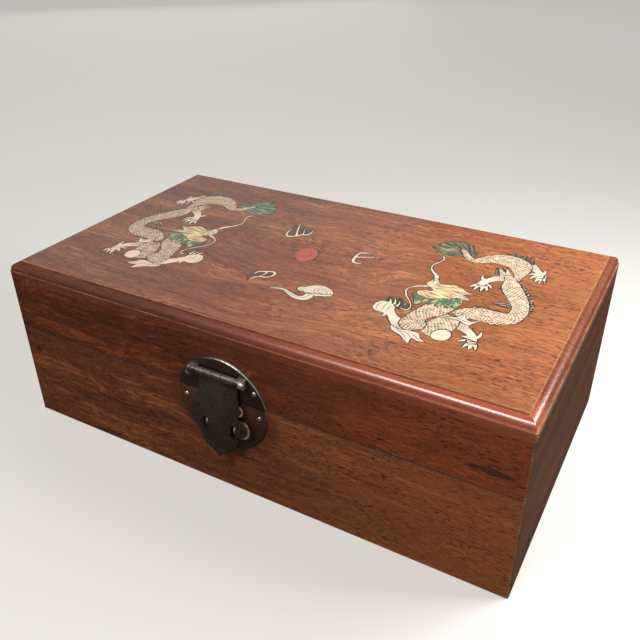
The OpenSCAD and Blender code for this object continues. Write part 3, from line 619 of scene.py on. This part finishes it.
def scaled_shell(name, tint, scale_mm, line_mm, ink, strength, reach=1000):
    """A piece engraved with rows of scales on its UV map, whose unit is UV_MM.

    In each scale the groove is where the distance from the middle of its row's
    foot is half a scale, and strength is how much of the ink it holds. The scales
    end reach millimetres along the piece.
    """
    f = Finish(name, IOR=1.55, Coat_IOR=1.5, Coat_Roughness=0.12)
    colour, cloud = shell_colour(f, tint, 0.45)
    uv = f.node("UVMap", {"uv_map": "shell"})
    u = f.node("SeparateXYZ", inputs={0: uv}, output=0) * UV_MM
    v = f.node("SeparateXYZ", inputs={0: uv}, output=1) * UV_MM
    wobble = (f.noise(u * 0.5, v * 0.5, 0.0, detail=2.0) - 0.5) * 0.9
    u, v = u + wobble, v + wobble
    row = v / (scale_mm / 2)
    shift = (row.math("FLOOR") * 0.5).math("FRACT")
    in_row = row.math("FRACT") * (scale_mm / 2)
    in_scale = ((u / scale_mm + shift).math("FRACT") - 0.5) * scale_mm
    radius = (in_row * in_row + in_scale * in_scale).math("SQRT")
    groove = abs(radius - scale_mm / 2 + line_mm / 2).fall(line_mm * 0.3, line_mm * 0.9)
    deepest = abs(in_scale).fall(scale_mm * 0.12, scale_mm * 0.5)
    worn = f.noise(u * 0.3, v * 0.3, 3.0, detail=3.0).rise(0.35, 0.6)
    scaled = v.fall(reach - 3, reach + 2)
    groove = groove * scaled
    column = (u / scale_mm + shift).math("FLOOR")
    cell = f.vector(column, row.math("FLOOR"), 0)
    gleam = f.node("TexWhiteNoise", {"noise_dimensions": "2D"}, {"Vector": cell})
    colour = f.mix(gleam * scaled * 0.4, colour, times(tint, 0.62))
    mark = groove * (0.3 + 0.7 * deepest) * (0.4 + 0.6 * worn) * strength
    colour = f.mix(mark.math("MINIMUM", 0.95), colour, ink)
    f.bump(1 - groove, 0.5, 0.1)
    coat = (0.2 + 0.3 * cloud) * (1 - groove)
    return f.surface(Base_Color=colour, Roughness=0.35 + 0.25 * groove, Coat_Weight=coat)


SCALE, SCALE_LINE = 2.5, 0.75
LIMB_SCALE, LIMB_LINE, LIMB_REACH = 2.0, 0.5, 9
body_cream = linear(226, 213, 187)
brown_ink = linear(92, 60, 40)
rosy_ink = linear(104, 72, 58)
scaled_cream = scaled_shell("scaled cream shell", body_cream, SCALE, SCALE_LINE, brown_ink, 1.0)
scaled_rosy = scaled_shell("scaled rosy shell", rosy, SCALE, SCALE_LINE, rosy_ink, 1.0)
limb_cream = scaled_shell("cream limb shell", cream, LIMB_SCALE, LIMB_LINE, brown_ink, 0.8, LIMB_REACH)
limb_rosy = scaled_shell("rosy limb shell", rosy, LIMB_SCALE, LIMB_LINE, rosy_ink, 0.8, LIMB_REACH)
print("a scale is", SCALE, "mm wide on the bodies and", LIMB_SCALE, "mm on the limbs")

# %% [markdown]
# ## The flat pieces of the inlay
# These keep the solids of the frame and only change their finish. The cutter
# chose rosier shell for the left dragon, and a bluer green for its tail fin.

# %% The flat pieces of the inlay
shell_of = {
    "head": head_shell, "mane": mane_shell, "tail_fin": fin_shell, "spines": dark_filling,
    "whiskers": cream_shell, "flames": cream_shell,
    "pearl": rose_shell, "flame_comb": rosy_shell, "flame_hook": cream_shell,
    "small_cloud": rosy_shell, "ruyi_cloud": cream_shell, "dark_fillings": dark_filling,
}
left_shell_of = {"whiskers": rosy_shell, "flames": shoulder_shell, "tail_fin": teal_fin_shell}
for node in nodes:
    side, _, part = node.rpartition("_dragon_")
    finish = (left_shell_of if side == "left" else {}).get(part) or shell_of.get(part)
    if finish:
        refinish(node, finish)
print("kinds of flat piece:", len(shell_of))

# %% [markdown]
# ## Curves and strips
# Every line of the inlay is a smooth curve through a few points. Curve objects
# with a bevel could draw them, but here the line also has a width at each point.
# So a strip is worked out whole: a crowned section, scaled by that width, is
# carried along the curve.

# %% Curves and strips


def smooth(points, steps, closed=False):
    """A smooth curve through the points.

    Between b and c, with neighbours a and d, it is
    b + t/2 (c - a + t (2a - 5b + 4c - d + t (3 (b - c) + d - a))).
    """
    p = np.array(points, float)
    n = len(p)
    i = np.arange(n if closed else n - 1)
    if closed:
        a, b, c, d = p[i - 1], p[i], p[(i + 1) % n], p[(i + 2) % n]
    else:
        a, b, c, d = p[np.maximum(i - 1, 0)], p[i], p[i + 1], p[np.minimum(i + 2, n - 1)]
    a, b, c, d = (q[:, None, :] for q in (a, b, c, d))
    t = (np.arange(steps) / steps)[None, :, None]
    curve = b + t / 2 * (c - a + t * (2 * a - 5 * b + 4 * c - d + t * (3 * (b - c) + d - a)))
    curve = curve.reshape(-1, p.shape[1])
    return curve if closed else np.vstack([curve, p[-1]])


print("a curve through 4 points in 5 steps has", len(smooth(np.eye(4), steps=5)), "points")

# %% Meshes


def set_uv(mesh, uv):
    """Gives a mesh the UV map "shell" from one pair for each vertex."""
    layer = mesh.uv_layers.new(name="shell")
    corner = np.empty(len(mesh.loops), dtype=np.int32)
    mesh.loops.foreach_get("vertex_index", corner)
    layer.uv.foreach_set("vector", np.asarray(uv)[corner].ravel())


def make_mesh(name, vertices, faces, uv=None):
    """An object from vertices in millimetres and faces; uv is one pair for each vertex."""
    mesh = bpy.data.meshes.new(name)
    mesh.from_pydata((np.asarray(vertices) * MM).tolist(), [], faces)
    if uv is not None:
        set_uv(mesh, uv)
    mesh.update()
    made = bpy.data.objects.new(name, mesh)
    bpy.context.scene.collection.objects.link(made)
    return made


def dress(piece, finish):
    """Gives a piece its finish, and makes it part of the lid."""
    piece.data.materials.append(finish)
    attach(piece, "lid")


print("new pieces lie on the lid, at", round(float(top_z), 2), "mm")

# %% Strips


def strip_arrays(path, steps, section, closed=False):
    """A strip along a path of [x, y, width].

    section is rows of [across, height]: across is a share of half the width,
    from -1 to 1, and height is in millimetres above the field. The section is
    carried along the path, square to it, and the ends are closed.
    """
    q = smooth(path, steps, closed)
    ahead = np.roll(q[:, :2], -1, axis=0) - np.roll(q[:, :2], 1, axis=0)
    if not closed:
        ahead[0] = q[1, :2] - q[0, :2]
        ahead[-1] = q[-1, :2] - q[-2, :2]
    ahead /= np.linalg.norm(ahead, axis=1)[:, None]
    side = np.stack([-ahead[:, 1], ahead[:, 0]], axis=1)
    across = section[None, :, 0] * q[:, None, 2] / 2
    xy = q[:, None, :2] + side[:, None, :] * across[..., None]
    z = np.broadcast_to(top_z + section[None, :, 1], across.shape)
    vertices = np.concatenate([xy, z[..., None]], axis=2).reshape(-1, 3)
    length = np.concatenate([[0], np.cumsum(np.linalg.norm(np.diff(q[:, :2], axis=0), axis=1))])
    along = np.broadcast_to(length[:, None], across.shape)
    uv = np.stack([across, along], axis=2).reshape(-1, 2) / UV_MM
    rows, count = across.shape
    i = np.arange(rows if closed else rows - 1)[:, None]
    j = np.arange(count)[None, :]
    here, onward = i * count, (i + 1) % rows * count
    next_j = (j + 1) % count
    faces = np.stack([here + j, here + next_j, onward + next_j, onward + j], axis=2)
    faces = faces.reshape(-1, 4).tolist()
    if not closed:
        faces.append(list(range(count))[::-1])
        faces.append(list(range((rows - 1) * count, rows * count)))
    return vertices, faces, uv


def join_strips(name, strips):
    """One object from many strips."""
    vertices, faces, uvs, start = [], [], [], 0
    for v, f, uv in strips:
        vertices.append(v)
        uvs.append(uv)
        faces += [[k + start for k in face] for face in f]
        start += len(v)
    return make_mesh(name, np.vstack(vertices), faces, np.vstack(uvs))


# Mastic and engraving are thin ridges that just break the surface, from one
# sunken edge over the crest to the other
LINE_CREST, LINE_SUNK = 0.04, 0.03
line_section = np.array([[1, -LINE_SUNK], [0, LINE_CREST], [-1, -LINE_SUNK]])
print("points in a line's section:", len(line_section))

# %% [markdown]
# ## The dragons' bodies
# Each body is four flush pieces, laid one against the other as the shell cutter
# laid them: neck, chest, flank and rump. A copy of each solid is diced into small
# squares, so that the scales can follow the line that its outline was drawn
# along. The left dragon is the right one turned over, a little nearer the front.

# %% Middle lines
# The middle lines of the right dragon's body, as x and y
BODY_PATHS = {
    "neck": [(93, -16), (89, -24), (85, -31), (83.5, -38), (84.5, -44), (88, -49)],
    "chest": [(100, -26), (99.5, -33), (98, -39), (95.5, -45), (93, -50)],
    "flank": [
        (112, 34), (115, 29), (117, 24), (119, 18.5), (124, 10.5), (129, 1),
        (130, -8), (127.5, -14.5), (120, -17.5), (112, -17.5), (106, -20), (101.5, -25),
    ],
    "rump": [
        (76, 55), (79.5, 51.5), (83.5, 46), (88, 43.5), (92.5, 46.5), (97.5, 51),
        (103.5, 53), (109.5, 52.5), (114.5, 49.5), (117, 43), (118, 36), (118.5, 29),
    ],
}
# Those of its limbs, from the body outwards
LIMB_PATHS = {
    "fore_legs": [[(105, -31.5), (109, -35), (113.5, -38), (116.5, -41.5), (117.5, -48)],
                  [(86, -48), (80, -47.5), (75, -44.5), (71, -40.5), (64, -34)]],
    "hind_legs": [[(120, 54), (124, 49.5), (127.5, 45), (129, 38)],
                  [(114, 30.5), (108.5, 27.5), (104.5, 23.5), (102, 18.5), (101.5, 12)]],
}
limb_lines = sum(len(lines) for lines in LIMB_PATHS.values())
print("middle lines on each dragon:", len(BODY_PATHS) + limb_lines)

# %% Dicing
DICE_MM = 1.5


def turned(path, side):
    """A path of the right dragon, or the same one on the left dragon."""
    if side == "right":
        return path
    return [(2 * TURN_X - x, y - TURN_DROP) for x, y in path]


def welded(node):
    """A node's mesh as a bmesh whose faces share their corners."""
    work = bmesh.new()
    work.from_mesh(nodes[node].data)
    bmesh.ops.remove_doubles(work, verts=work.verts, dist=0.001 * MM)
    return work


def dice(work, low, high):
    """Cuts a bmesh along lines DICE_MM apart, both ways."""
    for axis in (0, 1):
        normal = np.eye(3)[axis]
        for place in np.arange(low[axis] + DICE_MM, high[axis], DICE_MM):
            everything = work.verts[:] + work.edges[:] + work.faces[:]
            bmesh.ops.bisect_plane(work, geom=everything, plane_co=normal * place * MM, plane_no=normal)


print("the copies are diced", DICE_MM, "mm apart")

# %% Scaled bodies


def beside(points, line):
    """Where points lie beside a line: how far away from it, across it and along it.

    For each stretch of the line, the share at which a point lies is its offset
    from the start, dotted with the stretch, over the stretch's length squared,
    and kept between 0 and 1. The nearest stretch then counts.
    """
    start, step = line[:-1], np.diff(line, axis=0)
    length = np.linalg.norm(step, axis=1)
    away = points[:, None, :] - start
    share = np.clip((away * step).sum(axis=2) / length**2, 0, 1)
    gap = away - share[..., None] * step
    nearest = (gap**2).sum(axis=2).argmin(axis=1)
    row = np.arange(len(points))
    along = np.concatenate([[0], np.cumsum(length)])[nearest] + share[row, nearest] * length[nearest]
    side = step[nearest] / length[nearest, None]
    offset = gap[row, nearest]
    across = side[:, 0] * offset[:, 1] - side[:, 1] * offset[:, 0]
    return np.stack([np.linalg.norm(offset, axis=1), across, along], axis=1)


def scaled_piece(node, paths, finish):
    """A diced copy of a node with a UV map that follows the nearest of its paths."""
    work = welded(node)
    dice(work, *corners(node))
    mesh = bpy.data.meshes.new(node + "_scales")
    work.to_mesh(mesh)
    work.free()
    places = np.empty(len(mesh.vertices) * 3, dtype=np.float32)
    mesh.vertices.foreach_get("co", places)
    points = places.reshape(-1, 3)[:, :2] / MM
    found = np.stack([beside(points, smooth(path, steps=6)) for path in paths])
    nearest = found[:, :, 0].argmin(axis=0)
    set_uv(mesh, found[nearest, np.arange(len(points)), 1:] / UV_MM)
    made = bpy.data.objects.new(mesh.name, mesh)
    bpy.context.scene.collection.objects.link(made)
    dress(made, finish)
    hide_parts(node)


for side in ("left", "right"):
    is_right = side == "right"
    body_finish, limb_finish = (scaled_cream, limb_cream) if is_right else (scaled_rosy, limb_rosy)
    for part, path in BODY_PATHS.items():
        scaled_piece(side + "_dragon_" + part, [turned(path, side)], body_finish)
    for part, paths in LIMB_PATHS.items():
        scaled_piece(side + "_dragon_" + part, [turned(path, side) for path in paths], limb_finish)
print("scaled pieces:", 2 * (len(BODY_PATHS) + len(LIMB_PATHS)))

# %% [markdown]
# ## Mastic
# The cutter filled the gap around every piece with dark mastic. A dark line in
# the wood's material would need every outline again, as numbers. So the lines are
# traced from the solids instead: where an upper face meets an upright one there
# is a rim, and a strip follows it.

# %% Mastic


def rims(node):
    """The closed outlines of a flush piece's upper faces, in millimetres."""
    work = welded(node)
    next_to = {}
    for edge in work.edges:
        upright = [abs(face.normal.z) < 0.5 for face in edge.link_faces]
        upper = [face.normal.z > 0.5 for face in edge.link_faces]
        if any(upper) and any(upright):
            a, b = edge.verts
            next_to.setdefault(a.index, []).append(b.index)
            next_to.setdefault(b.index, []).append(a.index)
    places = np.array([v.co[:2] for v in work.verts]) / MM
    work.free()
    loops = []
    while next_to:
        here = next(iter(next_to))
        loop = []
        while here is not None:
            loop.append(here)
            onward = [v for v in next_to.pop(here) if v in next_to]
            here = onward[0] if onward else None
        if len(loop) > 3:
            loops.append(places[loop])
    return loops


def line_width(places):
    """A hand-cut gap: about a millimetre, plus two sine waves of the place."""
    x, y = places[:, 0], places[:, 1]
    return 1.05 + 0.3 * np.sin(x * 0.9 + y * 0.4) + 0.2 * np.sin(y * 1.7 - x * 0.6)


def mastic_lines(name, chosen):
    """One object with a line round every outline of the chosen nodes."""
    strips = []
    for node in chosen:
        for loop in rims(node):
            path = np.column_stack([loop, line_width(loop)])
            strips.append(strip_arrays(path, steps=1, section=line_section, closed=True))
    dress(join_strips(name, strips), mastic)
    return len(strips)


for side in ("left", "right"):
    count = mastic_lines(side + "_mastic", [n for n in nodes if n.startswith(side + "_dragon")])
    print(side, "dragon's mastic lines:", count)
middle_pieces = ["pearl", "flame_comb", "flame_hook", "small_cloud", "ruyi_cloud", "dark_fillings"]
print("lines between the dragons:", mastic_lines("middle_mastic", middle_pieces))

# %% [markdown]
# ## Engraving
# The cutter's strokes are filled with the same dark mastic, and a few pale slips
# of shell lie in the dark fins. They could be cut into the solids, but lines so
# fine would make heavy meshes for a mark that has no depth to see. Each one is
# a strip through the points given for the right dragon, thin at both ends.

# %% Strokes, slips and teeth
STROKES = {
    "head": [
        [(75, 9), (76.5, 5.5), (75.5, 1.5)], [(78.5, 8), (79.5, 4.5), (82.5, 2.2)],
        [(80, 4.8), (84.5, 3.4), (89, 4.4), (94, 2.6), (100, 2.2)], [(90, 7), (93.5, 5), (97, 3.4)],
        [(86, 7), (88.5, 4.8), (91, 5.6)], [(85, 0.8), (89.5, 1.2), (94, -0.6), (98, -0.8)],
        [(84, -3.6), (89, -2.6), (94, -3.6), (99.5, -3.4)], [(92, 1.4), (95.5, 1), (99, 1.4)],
        [(83, -5.4), (88, -4.8), (93, -5.4), (101.5, -6)], [(94, -1.8), (97, -2.6), (100.5, -4.4)],
        [(73.5, -8.6), (78, -7.4), (82, -8.6), (87, -7.8)], [(75, -10.4), (79, -9.6), (83.5, -10.2)],
        [(77, -11.5), (81.5, -11.6), (86, -10.4)], [(80.5, -3.5), (78, -5), (74.5, -6)],
        [(88, -8.8), (90, -7.2), (93.5, -7)], [(78.4, 0.6), (80.4, 2.4), (84.4, 2)],
    ],
    "mane": [
        [(73.2, -12.8), (73.8, -16), (75.2, -19)], [(76.2, -13.6), (76.2, -18), (77.2, -23)],
        [(79.6, -14.6), (79.2, -18), (79.2, -21)], [(83.4, -13.8), (83.2, -17), (83.5, -20.6)],
        [(87, -11.8), (87.6, -16), (88.4, -20)], [(90.8, -9.6), (92, -14), (93.4, -19)],
        [(94.6, -8), (95.6, -12), (97.8, -17.6)], [(97.6, -7.6), (98.6, -11), (99, -14)],
    ],
    "tail_fin": [
        [(77, 55.5), (70, 58.6), (62.5, 58.4)], [(76, 54.4), (68, 54.4), (60, 51.6)],
        [(78.5, 51), (70, 49.6), (64, 47.6)], [(80, 48.6), (75, 46), (69.5, 44.6)],
        [(78.6, 56), (74.6, 61), (73.5, 65.8)], [(80.4, 55), (79.6, 60), (77.6, 63.8)],
        [(82, 53.5), (82.4, 57), (81.4, 62)], [(77.6, 56.2), (71.5, 61), (67, 63.8)],
        [(84, 51.5), (85, 53)],
    ],
    "flames": [
        [(78, -52.6), (83, -54.6), (87.8, -60)], [(81.5, -52.6), (86, -54), (89, -57.2)],
        [(86.5, -52.2), (90.6, -54.6), (94.5, -57.4)], [(104, -27.4), (105, -25), (105, -22.4)],
        [(98.5, -28.8), (104, -27.4), (109, -28.4), (113.4, -25.6)], [(103.4, -46), (104.6, -46.4)],
    ],
    "fore_legs": [
        [(60.6, -30), (59.6, -34), (60.8, -38.4)], [(63.6, -29.4), (63.4, -33), (64, -38.6)],
        [(66.6, -31), (66.2, -34.6), (66.6, -37.6)],
    ],
    "hind_legs": [
        [(108.6, 40), (110, 36), (111, 33)], [(105, 39.4), (107.4, 35.6), (109.6, 33)],
    ],
    "middle": [
        [(-3, -44.8), (3, -43.8), (9, -45.4), (15, -47.4), (19.4, -46.6), (20.8, -43), (20.2, -40)],
        [(-9.5, 8), (-5, 6), (-4.4, 1), (-8, -1.4), (-10.6, 1)], [(-12.4, 5), (-12.6, 0), (-9, -4.2)],
    ],
}
PALE_SLIPS = [
    [(106, 61.6), (107, 65)], [(113.2, 60.6), (114.5, 65.4)], [(119.4, 58.6), (118.6, 65)],
    [(124.4, 19.6), (125.6, 23)], [(128.6, 13.8), (129.8, 17.4)], [(132, 7.6), (133.4, 11.6)],
    [(115.2, -2.4), (118.6, -0.2), (124.6, 0.4)], [(118, -2.6), (121, -2), (124.8, -2.2)],
    [(134.4, 0), (135.4, 4.4)], [(106.2, -12), (107.2, -9.2)], [(112.4, -11.4), (113.4, -8.4)],
    [(118.6, -11.4), (119.6, -8.6)], [(72.4, -27.6), (72.8, -24.6)], [(103.6, 39), (105, 33.6)],
    [(106.6, 40.6), (108.6, 36)], [(85.6, -20.4), (86.4, -17)], [(88.8, -20), (89.4, -16)],
    [(91.6, -19), (92.6, -14.6)], [(94.4, -18.6), (95, -14)], [(97, -17.4), (97.4, -13)],
    [(80.4, -20.6), (80.8, -17.6)],
]
EYE, EYE_RADIUS = (82.6, -0.6), 1.5
# Small pale teeth stand along the dark band behind the flank, one at every
# TOOTH_STEP points of its curve: their length out from the band and back along it
SPINE_BAND = [(121.2, 26.5), (124.8, 20), (129, 14), (132.4, 7), (134, 0), (134.2, -7)]
TOOTH_STEP, TOOTH_OUT, TOOTH_BACK = 3, 2.0, 1.2
# The great cloud's curls: middle, outer and inner radius, turns, stretch, line
CURLS = ((25, -35.8), 4.6, 0.8, 2.1, 1.25, 0.7), ((13.8, -37.9), 1.9, 0.5, 1.2, 1.0, 0.5)
# How wide each kind of line is at its widest
STROKE_WIDE, EYE_WIDE, CLOUD_WIDE, SLIP_WIDE, TOOTH_WIDE = 0.72, 0.5, 0.6, 0.8, 1.0
print("strokes on each dragon:", sum(len(v) for v in STROKES.values()) - len(STROKES["middle"]))

# %% Engraved lines and slips


def stroke(points, widest):
    """A strip through the points, whose width swells as half a sine wave."""
    share = np.linspace(0, 1, len(points))
    width = widest * (0.35 + 0.65 * np.sin(np.pi * share))
    return strip_arrays(np.column_stack([points, width]), steps=5, section=line_section)


def spiral(middle, outer, inner, turns, stretch):
    """A spiral of ten points a turn, stretched across: its radius falls evenly."""
    angle = np.linspace(0, 2 * np.pi * turns, int(10 * turns) + 1)
    radius = np.linspace(outer, inner, len(angle))
    across, along = stretch * radius * np.cos(angle), radius * np.sin(angle)
    return np.column_stack([middle[0] + across, middle[1] + along])


for side in ("left", "right"):
    of_dragon = [path for part, paths in STROKES.items() if part != "middle" for path in paths]
    dark = [stroke(turned(path, side), STROKE_WIDE) for path in of_dragon]
    for radius in (EYE_RADIUS, EYE_RADIUS / 3):
        ring = spiral(EYE, radius, radius, 1, 1.0)
        dark.append(stroke(turned(ring, side), EYE_WIDE))
    dress(join_strips(side + "_engraving", dark), mastic)
    pale = [stroke(turned(path, side), SLIP_WIDE) for path in PALE_SLIPS]
    band = smooth(SPINE_BAND, steps=8)
    for root, onward in zip(band[::TOOTH_STEP], band[1::TOOTH_STEP]):
        run = (onward - root) / np.linalg.norm(onward - root)
        tip = root + TOOTH_OUT * np.array([-run[1], run[0]]) - TOOTH_BACK * run
        pale.append(stroke(turned([root, tip], side), TOOTH_WIDE))
    pale_finish = cream_shell if side == "right" else rosy_shell
    dress(join_strips(side + "_pale_slips", pale), pale_finish)
clouds = [stroke(path, CLOUD_WIDE) for path in STROKES["middle"]]
for *curl, line in CURLS:
    clouds.append(stroke(spiral(*curl), line))
dress(join_strips("cloud_engraving", clouds), mastic)
print("strokes between the dragons:", len(clouds))

# %% [markdown]
# ## Floor and room
# The box stands on a pale, flat floor. Such a floor would throw so much light back at
# the sides that the red of the wood pales. So Light Path gives the camera alone
# the pale colour, and every other ray finds a darker table and a dim room.

# %% Floor and room
FLOOR_HALF = 3000
FLOOR_SEEN, FLOOR_GLOW, TABLE = linear(176, 175, 172), linear(168, 167, 164), linear(62, 56, 42)
ROOM_SEEN, ROOM = linear(232, 231, 228), (0.225, 0.215, 0.19)


def seen_or_not(tree, seen, unseen, target):
    """Feeds one colour to camera rays and another to every other ray."""
    rays = tree.nodes.new("ShaderNodeLightPath")
    mix = tree.nodes.new("ShaderNodeMix")
    mix.data_type = "RGBA"
    mix.inputs[6].default_value = (*unseen, 1)
    mix.inputs[7].default_value = (*seen, 1)
    tree.links.new(rays.outputs["Is Camera Ray"], mix.inputs[0])
    tree.links.new(mix.outputs[2], target)


pale_floor = Finish("pale floor", Roughness=0.7, Emission_Strength=1.0)
sockets = pale_floor.shader.inputs
seen_or_not(pale_floor.tree, FLOOR_SEEN, TABLE, sockets["Base Color"])
seen_or_not(pale_floor.tree, FLOOR_GLOW, (0, 0, 0), sockets["Emission Color"])
square = np.array([(-1, -1, 0), (1, -1, 0), (1, 1, 0), (-1, 1, 0)])
floor = make_mesh("floor", square * FLOOR_HALF, [(0, 1, 2, 3)])
floor.data.materials.append(pale_floor.material)

world = bpy.data.worlds.new("studio")
bpy.context.scene.world = world
world.use_nodes = True
background = world.node_tree.nodes["Background"]
seen_or_not(world.node_tree, ROOM_SEEN, ROOM, background.inputs["Color"])
print("floor:", 2 * FLOOR_HALF, "mm square")

# %% [markdown]
# ## Light
# One lamp could show the box, but lacquer mirrors every lamp, so each has its own
# work. The key stands low near the right end, so the lid gets darker to the left.
# The wall is wide, dim and far behind, and gives the lid its haze. The window
# lights the front from above, and the fill from low down at its right. The card
# lights nothing: it only shows in what mirrors it, as the highlight along the
# moulding.

# %% Light


def lamp(name, place, aim, size, power, colour=(1, 1, 1)):
    """A square soft lamp, in metres and watts, turned towards a point."""
    data = bpy.data.lights.new(name, "AREA")
    data.size = size
    data.energy = power
    data.color = colour
    made = bpy.data.objects.new(name, data)
    bpy.context.scene.collection.objects.link(made)
    made.location = place
    made.rotation_euler = (Vector(place) - Vector(aim)).to_track_quat("Z", "Y").to_euler()
    return made


lamp("key", (0.36, 0.12, 0.34), (0.08, 0, 0.1), 0.25, 3.0, (1, 0.96, 0.92))
lamp("wall", (-1.2, 1.4, 0.75), (-0.05, 0, 0.1), 1.4, 3.2)
lamp("window", (-0.20, -0.96, 1.23), (0.05, -0.05, 0.1), 0.5, 11.5, (1, 0.94, 0.9))
card = lamp("card", (-0.22, -1.0, 1.15), (0.08, -0.09, 0.108), 0.85, 8, (1, 0.9, 0.87))
card.visible_diffuse = False
lamp("fill", (0.32, -0.75, 0.30), (0.14, -0.1, 0.05), 0.5, 1.0, (1, 0.93, 0.86))
bpy.context.scene.view_settings.view_transform = "Standard"
